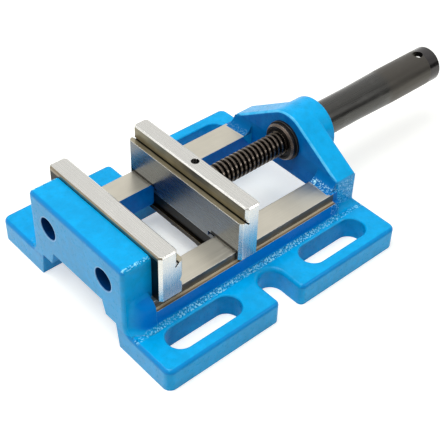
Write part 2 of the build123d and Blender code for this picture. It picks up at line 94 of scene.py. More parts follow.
class Socket:
    """A number in a node tree, on which Python's operators add Math nodes."""

    def __init__(self, tree: bpy.types.NodeTree, link: bpy.types.NodeSocket) -> None:
        """Wrap one output socket of a node.

        Args:
            tree: Node tree that the socket belongs to.
            link: The output socket.
        """
        self.tree = tree
        self.link = link

    def _math(self, operation: str, *operands: Union["Socket", float]) -> "Socket":
        """Add one Math node.

        Args:
            operation: Name of the node's operation.
            operands: Values or sockets, in the node's order.

        Returns:
            The node's result.
        """
        node = self.tree.nodes.new("ShaderNodeMath")
        node.operation = operation
        for place, operand in zip(node.inputs, operands):
            if isinstance(operand, Socket):
                self.tree.links.new(operand.link, place)
            else:
                place.default_value = operand
        return Socket(self.tree, node.outputs[0])

    def __add__(self, other: Union["Socket", float]) -> "Socket":
        """Return the sum."""
        return self._math("ADD", self, other)

    def __radd__(self, other: float) -> "Socket":
        """Return the sum, with the number first."""
        return self._math("ADD", other, self)

    def __sub__(self, other: Union["Socket", float]) -> "Socket":
        """Return the difference."""
        return self._math("SUBTRACT", self, other)

    def __rsub__(self, other: float) -> "Socket":
        """Return the difference, with the number first."""
        return self._math("SUBTRACT", other, self)

    def __mul__(self, other: Union["Socket", float]) -> "Socket":
        """Return the product."""
        return self._math("MULTIPLY", self, other)

    def __rmul__(self, other: float) -> "Socket":
        """Return the product, with the number first."""
        return self._math("MULTIPLY", other, self)

    def __pow__(self, exponent: float) -> "Socket":
        """Return the value raised to a power."""
        return self._math("POWER", self, exponent)

    def __abs__(self) -> "Socket":
        """Return the value without its sign."""
        return self._math("ABSOLUTE", self)

    def at_most(self, other: Union["Socket", float]) -> "Socket":
        """Return the smaller of the two values."""
        return self._math("MINIMUM", self, other)

    def at_least(self, other: Union["Socket", float]) -> "Socket":
        """Return the larger of the two values."""
        return self._math("MAXIMUM", self, other)


Input = Union[Socket, float, Sequence[float]]


class Axes(NamedTuple):
    """A surface's place along the spindle, across it and upwards."""

    x: Socket
    y: Socket
    z: Socket


def grey(tone: float) -> Colour:
    """Return a grey of a tone from 0 to 1."""
    return (tone, tone, tone)


class NodeTree:
    """A material's or a world's node tree, emptied and ready for new nodes."""

    bevel_samples = 6
    edge_turn: Span = (0.015, 0.22)

    def __init__(self, owner: Union[bpy.types.Material, bpy.types.World]) -> None:
        """Empty the owner's tree.

        Args:
            owner: Material or world whose nodes are built.
        """
        owner.use_nodes = True
        self.tree = owner.node_tree
        self.tree.nodes.clear()

    def node(
        self,
        kind: str,
        settings: dict[str, Any] | None = None,
        inputs: dict[Union[str, int], Input] | None = None,
        output: Union[str, int] = 0,
    ) -> Socket:
        """Add any node but a Math node.

        Args:
            kind: Name of the node's type, after "ShaderNode".
            settings: The node's own settings, which are set before its inputs.
            inputs: Values or links by the name or number of the input socket.
            output: Name or number of the output to return.

        Returns:
            The chosen output, or the first one.
        """
        node = self.tree.nodes.new("ShaderNode" + kind)
        for name, value in (settings or {}).items():
            setattr(node, name, value)
        for name, value in (inputs or {}).items():
            if isinstance(value, Socket):
                self.tree.links.new(value.link, node.inputs[name])
            else:
                node.inputs[name].default_value = self._padded(node.inputs[name], value)
        if not node.outputs:
            return Socket(self.tree, node.inputs[0])
        return Socket(self.tree, node.outputs[output])

    def outputs_of(self, socket: Socket, *names: str) -> tuple[Socket, ...]:
        """Return the named outputs of the node that a socket belongs to."""
        outputs = socket.link.node.outputs
        return tuple(Socket(self.tree, outputs[name]) for name in names)

    @staticmethod
    def _padded(socket: bpy.types.NodeSocket, value: Union[float, Sequence[float]]) -> Any:
        """Return a colour's three numbers with full alpha, and any other value as it is."""
        if socket.type == "RGBA" and len(value) == 3:
            return (*value, 1.0)
        return value

    def position(self) -> Socket:
        """Return the surface's place in the object's own axes, as a vector."""
        return self.node("TexCoord", output="Object")

    def axes(self) -> Axes:
        """Return the surface's place as its three numbers."""
        split = self.node("SeparateXYZ", inputs={0: self.position()})
        return Axes(*self.outputs_of(split, "X", "Y", "Z"))

    def rays(self) -> tuple[Socket, ...]:
        """Return 1 for a ray from the camera, from gloss and from a clear surface, in that order."""
        names = ("Is Camera Ray", "Is Glossy Ray", "Is Transmission Ray")
        return self.outputs_of(self.node("LightPath"), *names)

    def noise(
        self,
        scale: Union[float, Point],
        detail: float = 3.0,
        roughness: float = 0.5,
        offset: Point = (0.0, 0.0, 0.0),
    ) -> Socket:
        """Add a noise from about 0 to 1 that is fixed to the object.

        Args:
            scale: Waves per metre, the same along every axis or one number for each.
            detail: Number of finer layers.
            roughness: Weight of the finer layers.
            offset: Shift, so that two noises differ.

        Returns:
            The noise's value.
        """
        scales = scale if isinstance(scale, tuple) else (scale, scale, scale)
        mapped = self.node(
            "Mapping", inputs={"Vector": self.position(), "Location": offset, "Scale": scales}
        )
        return self.node(
            "TexNoise",
            inputs={"Vector": mapped, "Scale": 1.0, "Detail": detail, "Roughness": roughness},
        )

    def step(self, value: Socket, low: float, high: float) -> Socket:
        """Return 0 below low, 1 above high and a smooth rise between them."""
        return self.node(
            "MapRange",
            {"interpolation_type": "SMOOTHSTEP"},
            {"Value": value, "From Min": low, "From Max": high},
        )

    def band(self, value: Socket, low: float, high: float, edge: float) -> Socket:
        """Return 1 from low to high and 0 outside, with soft edges of the given width."""
        return self.step(value, low - edge, low) * (1.0 - self.step(value, high, high + edge))

    def mix(self, factor: Input, first: Input, second: Input) -> Socket:
        """Return a colour between two colours."""
        return self.node(
            "Mix", {"data_type": "RGBA"}, {0: factor, 6: first, 7: second}, output=2
        )

    def rounded(self, radius: float) -> Socket:
        """Return the normal with edges that are rounded by a radius."""
        return self.node("Bevel", {"samples": self.bevel_samples}, {"Radius": radius})

    def edges(self, radius: float) -> Socket:
        """Tell edges from flat faces.

        Args:
            radius: Reach of an edge on either side.

        Returns:
            0 on flat faces, rising towards 1 at the edges.
        """
        softened = self.rounded(radius)
        normal = self.node("NewGeometry", output="Normal")
        likeness = self.node(
            "VectorMath", {"operation": "DOT_PRODUCT"}, {0: softened, 1: normal}, output="Value"
        )
        return self.step(1.0 - likeness, *self.edge_turn)

    def bump(self, height: Socket, distance: float, strength: float, radius: float) -> Socket:
        """Return a normal with relief, over edges that are rounded by a radius.

        Args:
            height: Relief, from about 0 to 1.
            distance: Depth of the relief at a height of 1.
            strength: Share of the relief that shows.
            radius: Radius of the edges.

        Returns:
            The normal.
        """
        inputs = {"Height": height, "Distance": distance, "Strength": strength}
        return self.node("Bump", inputs={**inputs, "Normal": self.rounded(radius)})

    def principled(self, **inputs: Input) -> Socket:
        """Add the Principled shader.

        Args:
            inputs: Its sockets by name, with an underscore for each space.

        Returns:
            The shader.
        """
        named = {name.replace("_", " "): value for name, value in inputs.items()}
        return self.node("BsdfPrincipled", inputs=named)

    def surface(self, shader: Socket) -> None:
        """Send a shader to the material's output."""
        self.node("OutputMaterial", inputs={"Surface": shader})


@dataclass(frozen=True)
class Finish(ABC):
    """A named finish, which fills the nodes of its material."""

    name: str

    @abstractmethod
    def shade(self, tree: NodeTree) -> None:
        """Fill a new material's nodes.

        Args:
            tree: The material's empty tree.
        """


@functools.cache
def material_of(finish: Finish) -> bpy.types.Material:
    """Return the material of a finish, which is built on its first use.

    Args:
        finish: The finish.

    Returns:
        The one material that all its surfaces share.
    """
    material = bpy.data.materials.new(finish.name)
    finish.shade(NodeTree(material))
    return material


@dataclass(frozen=True)
class CastMasks:
    """Where the casting is rough, and where painted shade, painted glints and painted highlights lie
    on it.

    The spans that say ahead count towards the front, along -X.
    """

    tree: NodeTree
    place: Axes
    front_face_ahead: Span = (104.5 * MM, 105.8 * MM)
    foot_height: Band = (17.5 * MM, 20.2 * MM, 0.8 * MM)
    foot_side: Band = (59.8 * MM, 62.6 * MM, 0.8 * MM)
    crown_height: Span = (70.4 * MM, 71.0 * MM)
    crown_side: Band = (48.5 * MM, 50.2 * MM, 0.4 * MM)
    crown_ahead: Span = (83.0 * MM, 84.0 * MM)
    rear_end: Span = (73.0 * MM, 74.0 * MM)
    root_height: Band = (38.6 * MM, 40.4 * MM, 1.2 * MM)
    root_end: Span = (78.0 * MM, 80.0 * MM)
    cheek_height: Band = (24.0 * MM, 41.0 * MM, 4.0 * MM)
    cheek_side: Span = (53.0 * MM, 54.0 * MM)
    left_half: Span = (0.0, 10.0 * MM)
    # Where the painted shade lies at the foot of the rear wall.
    corner_shade_end: Span = (81.0 * MM, 83.0 * MM)
    corner_shade_height: Band = (38.7 * MM, 48.0 * MM, 1.0 * MM)
    flank_inside: Span = (50.2 * MM, 51.2 * MM)
    flank_outside: Span = (59.8 * MM, 60.8 * MM)
    flank_foot: Span = (19.0 * MM, 22.0 * MM)
    flank_fade: Span = (26.0 * MM, 62.0 * MM)
    flank_full: Span = (51.4 * MM, 53.0 * MM)
    flank_length: Band = (-94.0 * MM, 76.0 * MM, 11.0 * MM)
    flange_brow: Band = (15.4 * MM, 17.7 * MM, 0.4 * MM)
    block_brow: Band = (69.4 * MM, 71.7 * MM, 0.4 * MM)
    brow_length: Band = (-105.8 * MM, -103.8 * MM, 0.4 * MM)
    brow_side: Band = (92.8 * MM, 94.8 * MM, 0.4 * MM)
    bore_side: float = 30.5 * MM
    bore_height: float = 51.5 * MM
    rim_radius: Band = (8.3 * MM, 9.2 * MM, 0.4 * MM)
    rim_ahead: Span = (105.2 * MM, 105.7 * MM)

    def front(self) -> Socket:
        """Return 1 on the casting's front face."""
        return self.tree.step(self.place.x * -1.0, *self.front_face_ahead)

    def rough(self) -> Socket:
        """Return the weight of the rough skin that is left in the corners, which carries painted
        glints, and of a painted highlight on the crown.

        Returns:
            Up to 1 on the flanges' roots, the rear end's cheeks and the front block's edges.
        """
        step, band = self.tree.step, self.tree.band
        x, y, z = self.place
        side = abs(y)
        patches = step(self.tree.noise(60.0, detail=2.0, offset=(5.0, 5.0, 5.0)), 0.30, 0.55)
        foot = band(z, *self.foot_height) * band(side, *self.foot_side)
        # The crown is a painted highlight along the front block's upper side edges.
        crown = step(z, *self.crown_height) * band(side, *self.crown_side)
        crown = crown * step(x * -1.0, *self.crown_ahead)
        rear_end = step(x, *self.rear_end)
        root = rear_end * band(z, *self.root_height) * (1.0 - step(x, *self.root_end))
        cheek = rear_end * band(z, *self.cheek_height) * step(side, *self.cheek_side)
        # The painted glints, and the rough skin with them, fade on the left, the less lit side.
        less_lit_left = 1.0 - 0.75 * step(y, *self.left_half)
        rough = foot.at_least(root).at_least(cheek * 0.7) * less_lit_left
        return (rough * (0.45 + 0.55 * patches)).at_least(crown * 0.9)

    def corner_shade(self) -> Socket:
        """Return the weight of the painted shade in the deep corner at the foot of the rear wall.

        Returns:
            Up to 0.9, and less on the right.
        """
        x, y, z = self.place
        corner = self.tree.step(x, *self.rear_end) * (1.0 - self.tree.step(x, *self.corner_shade_end))
        corner = corner * self.tree.band(z, *self.corner_shade_height)
        return corner * (0.5 + 0.4 * self.tree.step(y, *self.left_half))

    def flank_shade(self) -> Socket:
        """Return the weight of the painted shade, a deeper blue, on the body's lower sides.

        Returns:
            Up to 1, fading out upwards and forwards.
        """
        step = self.tree.step
        x, y, z = self.place
        side = abs(y)
        flank_shade = step(side, *self.flank_inside) * (1.0 - step(side, *self.flank_outside))
        flank_shade = flank_shade * step(z, *self.flank_foot)
        fading = (1.0 - step(z, *self.flank_fade)).at_least(step(side, *self.flank_full))
        return flank_shade * fading * self.tree.band(x, *self.flank_length)

    def brow_shade(self) -> Socket:
        """Return the weight of the painted shade, a darker line, along the rounded upper edges.

        Returns:
            Up to 0.75, along the front and the flanges' outsides.
        """
        band = self.tree.band
        x, y, z = self.place
        crest = band(z, *self.flange_brow).at_least(band(z, *self.block_brow))
        return crest * band(x, *self.brow_length).at_least(band(abs(y), *self.brow_side)) * 0.75

    def bore_rim_highlights(self) -> Socket:
        """Return the weight of the painted highlights, pale rims, round the two screw bores in the
        front.

        Returns:
            Up to 0.75.
        """
        x, y, z = self.place
        away = ((abs(y) - self.bore_side) ** 2.0 + (z - self.bore_height) ** 2.0) ** 0.5
        rim = self.tree.band(away, *self.rim_radius)
        return rim * self.tree.step(x * -1.0, *self.rim_ahead) * 0.75


@dataclass(frozen=True)
class Enamel(Finish):
    """Blue enamel on cast iron: glossy, slightly uneven, and rough in the cast corners, with painted
    glints, painted highlights and painted shade.
    """

    deep: Colour = (0.0, 0.35, 0.71)
    bright: Colour = (0.0, 0.43, 0.86)
    # Colour of the painted highlight along the edges.
    edge: Colour = (0.06, 0.55, 0.95)
    # Colour of the painted glints on the rough skin.
    painted_glint: Colour = (0.38, 0.84, 0.98)
    # Colour of the painted shade in the rear wall's corner, and of dark specks on the rough skin.
    pit_and_shade: Colour = (0.0, 0.12, 0.34)
    # Colour of the painted shade on the body's lower sides.
    flank_shade: Colour = (0.0, 0.225, 0.70)
    # Colour of the painted shade along the rounded upper edges.
    brow_shade: Colour = (0.0, 0.23, 0.62)
    # Colour of the painted highlights round the screw bores.
    rim: Colour = (0.26, 0.55, 0.92)
    gloss: float = 0.28
    front_gloss: float = 0.26
    edge_radius: float = 1.0 * MM
    relief: float = 0.45 * MM

    def shade(self, tree: NodeTree) -> None:
        """Fill a new material's nodes.

        Args:
            tree: The material's empty tree.
        """
        masks = CastMasks(tree, tree.axes())
        rough, corner_shade, flank_shade = masks.rough(), masks.corner_shade(), masks.flank_shade()
        mottle = tree.noise(160.0, detail=4.0, roughness=0.6)
        broad = tree.noise(18.0, detail=2.0, offset=(3.0, 1.0, 2.0))
        colour = tree.mix(tree.step(mottle * 0.6 + broad * 0.4, 0.34, 0.66), self.deep, self.bright)
        # Painted shade on the body's lower sides.
        colour = tree.mix(flank_shade, colour, self.flank_shade)
        # Painted shade along the rounded upper edges.
        colour = tree.mix(masks.brow_shade(), colour, self.brow_shade)
        # Painted highlight along the edges.
        colour = tree.mix(tree.edges(self.edge_radius) * 0.7, colour, self.edge)
        # Painted highlights round the screw bores.
        colour = tree.mix(masks.bore_rim_highlights(), colour, self.rim)
        # Painted shade in the deep corner at the foot of the rear wall.
        colour = tree.mix(corner_shade, colour, self.pit_and_shade)
        speck = tree.noise(800.0, detail=2.0, roughness=0.6, offset=(7.0, 4.0, 1.0))
        # Dark specks on the rough skin.
        colour = tree.mix((1.0 - tree.step(speck, 0.40, 0.47)) * rough * 0.7, colour, self.pit_and_shade)
        # Painted glints on the rough skin.
        colour = tree.mix(tree.step(speck, 0.52, 0.61) * rough * 0.9, colour, self.painted_glint)
        peel = tree.noise(420.0, detail=2.0)
        waves = tree.noise(75.0, offset=(1.0, 8.0, 3.0))
        height = waves * 0.32 + peel * 0.10 + speck * (0.03 + 1.2 * rough)
        coat = self.gloss + self.front_gloss * masks.front()
        shader = tree.principled(
            Base_Color=colour,
            Roughness=0.26 + 0.12 * tree.step(peel, 0.3, 0.7) + 0.2 * corner_shade,
            Specular_IOR_Level=0.04,
            Coat_Weight=coat * (1.0 - 0.85 * flank_shade) * (1.0 - corner_shade),
            Coat_Roughness=0.22,
            Normal=tree.bump(height, self.relief, 0.35, self.edge_radius),
        )
        tree.surface(shader)


@dataclass(frozen=True)
class GroundSteel(Finish):
    """Bare steel or iron with the fine parallel lines of a grinding wheel."""

    grain: Grain
    light: Colour = (0.74, 0.73, 0.69)
    dark: Colour = (0.66, 0.65, 0.61)
    smooth: float = 0.20
    rough: float = 0.30
    # Colour of the painted highlight along the edges.
    edge: Colour = (0.92, 0.90, 0.86)
    edge_radius: float = 0.5 * MM
    bare_length: Band | None = None
    # Colour where the surface is painted instead of bare: a darker copy of the enamel, as painted
    # shade.
    paint: Colour = (0.0, 0.17, 0.54)
    metal: float = 1.0
    pale_inside: Span | None = None
    # Heights of painted shade, outside a distance from the middle, and its colour.
    shaded_height: Band | None = None
    shaded_outside: Span = (-2.0 * MM, -1.0 * MM)
    shade_colour: Colour = (0.008, 0.007, 0.006)
    relief: float = 0.1

    def shade(self, tree: NodeTree) -> None:
        """Fill a new material's nodes.

        Args:
            tree: The material's empty tree.
        """
        x, y, z = tree.axes()
        lines = tree.noise(self.grain.value, detail=4.0, roughness=0.65)
        cloud = tree.noise(55.0, roughness=0.55, offset=(2.0, 5.0, 1.0))
        tone = tree.step(lines * 0.55 + cloud * 0.45, 0.32, 0.68)
        if self.pale_inside is not None:
            tone = (tone * 0.3).at_least(1.0 - tree.step(abs(y), *self.pale_inside))
        colour = tree.mix(tone, self.dark, self.light)
        # Painted highlight along the edges.
        colour = tree.mix(tree.edges(self.edge_radius), colour, self.edge)
        # Painted shade over a band of heights.
        if self.shaded_height is not None:
            line = tree.band(z, *self.shaded_height) * tree.step(abs(y), *self.shaded_outside)
            colour = tree.mix(line, colour, self.shade_colour)
        metallic: Input = self.metal
        if self.bare_length is not None:
            exposed = tree.band(x, *self.bare_length)
            # Beyond the bare length: enamel, darkened as painted shade.
            colour = tree.mix(exposed, self.paint, colour)
            metallic = exposed * self.metal
        shader = tree.principled(
            Base_Color=colour,
            Roughness=self.smooth + (self.rough - self.smooth) * tree.step(lines, 0.3, 0.7),
            Metallic=metallic,
            Specular_IOR_Level=0.25,
            Normal=tree.bump(lines, 0.006 * MM, self.relief, self.edge_radius),
        )
        tree.surface(shader)


@dataclass(frozen=True)
class DarkSteel(Finish):
    """Steel with a chemical black, which wears to grey along its edges."""

    base: Colour
    worn: Colour
    grain: Grain = Grain.NONE
    smooth: float = 0.30
    rough: float = 0.52
    metallic: float = 0.85
    edge_radius: float = 0.4 * MM
    grip: Span | None = None
    grip_tone: Colour = (0.098, 0.088, 0.074)
    tip: Span | None = None
    tip_tone: Colour = (0.055, 0.053, 0.06)

    def shade(self, tree: NodeTree) -> None:
        """Fill a new material's nodes.

        Args:
            tree: The material's empty tree.
        """
        along = tree.axes().x
        lines = tree.noise(self.grain.value, roughness=0.6)
        cloud = tree.noise(70.0, detail=4.0, roughness=0.6, offset=(4.0, 2.0, 6.0))
        wear = tree.step(cloud * 0.6 + lines * 0.4, 0.50, 0.74) * 0.35
        roughness = self.smooth + (self.rough - self.smooth) * tree.step(lines, 0.25, 0.7)
        colour = tree.mix((wear + tree.edges(self.edge_radius)).at_most(1.0), self.base, self.worn)
        if self.grip is not None:
            held = tree.step(along, *self.grip)
            colour = tree.mix(held * 0.7, colour, self.grip_tone)
            roughness = roughness + 0.14 * held
        if self.tip is not None:
            polished = tree.step(along, *self.tip)
            colour = tree.mix(polished * 0.6, colour, self.tip_tone)
            roughness = roughness * (1.0 - 0.5 * polished)
        shader = tree.principled(
            Base_Color=colour,
            Roughness=roughness,
            Metallic=self.metallic,
            Normal=tree.bump(lines * 0.5 + cloud * 0.5, 0.03 * MM, 0.4, self.edge_radius),
        )
        tree.surface(shader)


@dataclass(frozen=True)
class ThreadSteel(Finish):
    """Turned thread: bright brownish crests, darker towards the root of the groove."""

    bright_from: float
    dark_to: float
    axis_height: float
    crest: Colour = (0.155, 0.128, 0.104)
    root: Colour = (0.012, 0.010, 0.009)

    def shade(self, tree: NodeTree) -> None:
        """Fill a new material's nodes.

        Args:
            tree: The material's empty tree.
        """
        _, y, z = tree.axes()
        radius = (y**2.0 + (z - self.axis_height) ** 2.0) ** 0.5
        rise = tree.step(radius, self.dark_to, self.bright_from)
        cloud = tree.noise(320.0, detail=4.0, roughness=0.6)
        shader = tree.principled(
            Base_Color=tree.mix((rise**1.5) * (0.75 + 0.25 * cloud), self.root, self.crest),
            Roughness=0.18 + 0.18 * cloud,
            Metallic=0.95,
            Normal=tree.bump(tree.noise(1500.0), 0.02 * MM, 0.4, 0.15 * MM),
        )
        tree.surface(shader)


@dataclass(frozen=True)
class PaleFloor(Finish):
    """White floor that keeps a shadow, and glows by itself to the eye and in reflections, with a
    painted shade beneath the vise's windows.
    """

    tone: Colour = (0.80, 0.80, 0.80)
    seen_tone: Colour = (0.62, 0.62, 0.57)
    glow: Colour = (0.60, 0.60, 0.60)
    # Glow beneath the vise's windows, lower than elsewhere: painted shade.
    window_shade_glow: Colour = (0.40, 0.41, 0.42)
    window_length: Band = (-75.0 * MM, 75.0 * MM, 25.0 * MM)
    window_width: Band = (-35.0 * MM, 35.0 * MM, 15.0 * MM)
    far: Span = (500.0 * MM, 1100.0 * MM)

    def shade(self, tree: NodeTree) -> None:
        """Fill a new material's nodes.

        Args:
            tree: The material's empty tree.
        """
        x, y, _ = tree.axes()
        # Painted shade on the floor beneath the vise's windows.
        shade_under_vise = tree.band(x, *self.window_length) * tree.band(y, *self.window_width)
        far = tree.step((x**2.0 + y**2.0) ** 0.5, *self.far)
        glow = tree.mix(far, tree.mix(shade_under_vise, self.glow, self.window_shade_glow), WHITE)
        plain = tree.principled(
            Base_Color=self.tone,
            Roughness=0.55 + 0.1 * tree.noise(300.0),
            Specular_IOR_Level=0.2,
        )
        seen = tree.principled(
            Base_Color=self.seen_tone,
            Roughness=0.8,
            Specular_IOR_Level=0.0,
            Emission_Color=glow,
            Emission_Strength=1.0,
        )
        camera, glossy, clear = tree.rays()
        to_eye = camera.at_least(glossy).at_least(clear)
        tree.surface(tree.node("MixShader", inputs={0: to_eye, 1: plain, 2: seen}))


@dataclass(frozen=True)
class Finishes:
    """The vise's finishes, named for the surfaces that wear them."""

    enamel: Finish = Enamel("blue_enamel")
    # Near-black enamel: painted shade inside the front screw bores.
    bore_shade_enamel: Finish = Enamel(
        "bore_shade_enamel", (0.0, 0.03, 0.14), (0.0, 0.05, 0.20), (0.05, 0.35, 0.75)
    )
    # Darker, duller enamel: painted shade on the rear wall's front, with paler painted glints at its
    # foot.
    wall_shade_enamel: Finish = Enamel(
        "wall_shade_enamel", (0.0, 0.14, 0.48), (0.0, 0.20, 0.58), (0.03, 0.42, 0.80),
        (0.50, 0.88, 0.96), gloss=0.06,
    )
    # Darker enamel: painted shade on the bolt slots' walls.
    slot_shade_enamel: Finish = Enamel(
        "slot_shade_enamel", (0.0, 0.28, 0.60), (0.0, 0.37, 0.72), (0.03, 0.45, 0.82), gloss=0.06
    )
    # Deeper, darker enamel: painted shade on the window's long sides.
    window_side_shade_enamel: Finish = Enamel(
        "window_side_shade_enamel", (0.0, 0.17, 0.60), (0.0, 0.23, 0.70), (0.02, 0.38, 0.84), gloss=0.06
    )
    # Paler enamel: painted highlight on the rear wall's rounded rim.
    rim_highlight_enamel: Finish = Enamel("rim_highlight_enamel", (0.02, 0.46, 0.86), (0.12, 0.60, 0.95))
    ways: Finish = GroundSteel(
        "ground_way_tops", Grain.ALONG_X, (0.68, 0.64, 0.54), (0.60, 0.565, 0.475), 0.30, 0.40,
        edge_radius=0.8 * MM, bare_length=(-200.0 * MM, 74.4 * MM, 0.6 * MM),
    )
    way_sides: Finish = GroundSteel(
        "milled_way_sides", Grain.ALONG_X, (0.20, 0.19, 0.165), (0.10, 0.095, 0.085), 0.34, 0.48,
        bare_length=(-86.5 * MM, 77.5 * MM, 0.6 * MM),
    )
    ledge: Finish = GroundSteel(
        "milled_ledges", Grain.ALONG_X, (0.80, 0.66, 0.44), (0.16, 0.11, 0.06), 0.28, 0.42,
        bare_length=(-86.5 * MM, 77.5 * MM, 0.6 * MM), metal=0.45,
        pale_inside=(57.2 * MM, 57.9 * MM),
    )
    jaw: Finish = GroundSteel(
        "ground_jaw_steel", Grain.ALONG_Y, (0.74, 0.73, 0.69), (0.70, 0.69, 0.65), 0.24, 0.29,
        (0.77, 0.755, 0.72), 0.3 * MM, relief=0.06,
    )
    jaw_end: Finish = GroundSteel(
        "ground_jaw_ends", Grain.ALONG_Z, (0.72, 0.715, 0.69), (0.68, 0.675, 0.65), 0.24, 0.28,
        (0.77, 0.755, 0.72), 0.3 * MM, relief=0.05,
    )
    # Dark steel: painted reflection on the moving jaw's front, with a band of painted shade in the
    # reliefs of its legs.
    jaw_front: Finish = GroundSteel(
        "jaw_front_painted_reflection", Grain.ALONG_Y, (0.205, 0.218, 0.23), (0.18, 0.19, 0.20), 0.25, 0.29,
        shaded_height=(38.0 * MM, 40.8 * MM, 0.2 * MM), shaded_outside=(30.7 * MM, 31.0 * MM),
        relief=0.03,
    )
    # Painted shade over most of the back of the fixed plate.
    plate_back: Finish = GroundSteel(
        "shaded_plate_back", Grain.ALONG_Y, (0.34, 0.29, 0.215), (0.22, 0.185, 0.135), 0.30, 0.42,
        (0.46, 0.42, 0.34), 0.3 * MM, shaded_height=(20.0 * MM, 72.8 * MM, 0.2 * MM),
    )
    # Near-black steel: painted shade in the cuts at the foot of the step.
    relief: Finish = GroundSteel(
        "shaded_relief_cuts", Grain.ALONG_Y, (0.05, 0.045, 0.035), (0.02, 0.018, 0.015), 0.35, 0.5,
        (0.06, 0.05, 0.04),
    )
    # Dark olive steel: painted reflection on the step's riser.
    riser: Finish = GroundSteel(
        "milled_step", Grain.ALONG_Y, (0.28, 0.25, 0.175), (0.13, 0.115, 0.075), 0.28, 0.42,
        (0.55, 0.52, 0.44),
    )
    step_floor: Finish = GroundSteel(
        "milled_step_floor", Grain.ALONG_Y, (0.50, 0.455, 0.34), (0.36, 0.32, 0.23), 0.28, 0.40
    )
    # Painted shade over the guide's lower part, beneath the moving jaw.
    guide: Finish = GroundSteel(
        "milled_guide_steel", Grain.ALONG_Y, (0.17, 0.175, 0.18), (0.14, 0.145, 0.15), 0.28, 0.34,
        (0.24, 0.23, 0.20), 0.2 * MM, shaded_height=(12.0 * MM, 30.4 * MM, 0.2 * MM),
    )
    keeper: Finish = GroundSteel(
        "milled_keeper_steel", Grain.ALONG_Y, (0.045, 0.035, 0.025), (0.018, 0.014, 0.010),
        0.30, 0.45, (0.28, 0.23, 0.15), 0.6 * MM,
    )
    handle: Finish = DarkSteel(
        "blackened_handle", (0.080, 0.079, 0.074), (0.20, 0.198, 0.186), Grain.STREAKS_X,
        0.22, 0.34, 0.9, 0.4 * MM, grip=(180.0 * MM, 189.0 * MM), tip=(232.5 * MM, 232.8 * MM),
    )
    bore: Finish = GroundSteel("turned_bore", Grain.ROUND_X, smooth=0.2, rough=0.35)
    sleeve: Finish = DarkSteel(
        "blackened_sleeve", (0.03, 0.027, 0.025), (0.14, 0.12, 0.10), Grain.ROUND_X
    )
    bevel: Finish = GroundSteel(
        "lighter_bevel", Grain.ROUND_X, (0.15, 0.12, 0.10), (0.09, 0.07, 0.055), 0.26, 0.40
    )
    washer: Finish = DarkSteel("blackened_washers", (0.035, 0.033, 0.03), (0.16, 0.15, 0.13))
    pale_washer: Finish = GroundSteel(
        "turned_washer", Grain.ROUND_X, (0.62, 0.60, 0.57), (0.45, 0.44, 0.42)
    )
    fastener: Finish = DarkSteel("black_oxide_fasteners", (0.03, 0.03, 0.032), (0.20, 0.20, 0.20))
    bronze: Finish = GroundSteel(
        "bearing_bronze", Grain.ROUND_X, (0.60, 0.40, 0.20), (0.45, 0.29, 0.14)
    )


def paint(node: bpy.types.Object, *finishes: Finish) -> None:
    """Give an object its finishes, in the order of its material slots.

    Args:
        node: CAD node or new piece.
        finishes: Finishes, the first of which covers every face that isn't picked.
    """
    node.data.materials.clear()
    for finish in finishes:
        node.data.materials.append(material_of(finish))
    LOG.info("dressed %s in %s", node.name, ", ".join(finish.name for finish in finishes))


def paint_by_face(
    node: bpy.types.Object,
    finishes: dict[Hashable, Finish],
    kind_of: Callable[[Vector, Vector], Hashable],
) -> None:
    """Give each face of an object the finish of its kind.

    Args:
        node: CAD node.
        finishes: Finish of each kind of face.
        kind_of: Tells a face's kind from its middle and its normal.
    """
    paint(node, *finishes.values())
    slots = {kind: number for number, kind in enumerate(finishes)}
    for face in node.data.polygons:
        face.material_index = slots[kind_of(face.center, face.normal)]


def finish_mesh(mesh: bmesh.types.BMesh, name: str) -> bpy.types.Object:
    """Turn a finished bmesh into an object in the scene.

    Args:
        mesh: The geometry, which is freed.
        name: Name of the piece.

    Returns:
        The new object, with smooth faces up to a sharp angle.
    """
    data = bpy.data.meshes.new(name)
    mesh.to_mesh(data)
    mesh.free()
    piece = bpy.data.objects.new(name, data)
    bpy.context.scene.collection.objects.link(piece)
    data.shade_smooth()
    data.set_sharp_from_angle(angle=math.radians(SHARP_ANGLE))
    LOG.info("built %s with %d faces", name, len(data.polygons))
    return piece


def bridge(mesh: bmesh.types.BMesh, rings: Sequence[Sequence[bmesh.types.BMVert]]) -> None:
    """Join closed rings of vertices into a skin, and close its two ends.

    Args:
        mesh: The geometry that holds them.
        rings: Rings of as many vertices each, in order.
    """
    for first, second in zip(rings, rings[1:]):
        for place in range(len(first)):
            after = (place + 1) % len(first)
            mesh.faces.new((first[place], first[after], second[after], second[place]))
    mesh.faces.new(rings[0])
    mesh.faces.new(rings[-1])


class CastFace(Enum):
    """Kinds of face on the casting."""

    ENAMEL = "enamel"
    WAY_TOP = "way top"
    WAY_SIDE = "way side"
    LEDGE = "ledge beside a way"
    SCREW_BORE = "screw bore"
    WALL_FRONT = "front of the rear wall"
    # The rear wall's rounded rim, which carries a painted highlight.
    WALL_RIM_HIGHLIGHT = "painted highlight on the rear wall's rim"
    SLOT = "bolt slot"
    WINDOW_SIDE = "long side of the window"


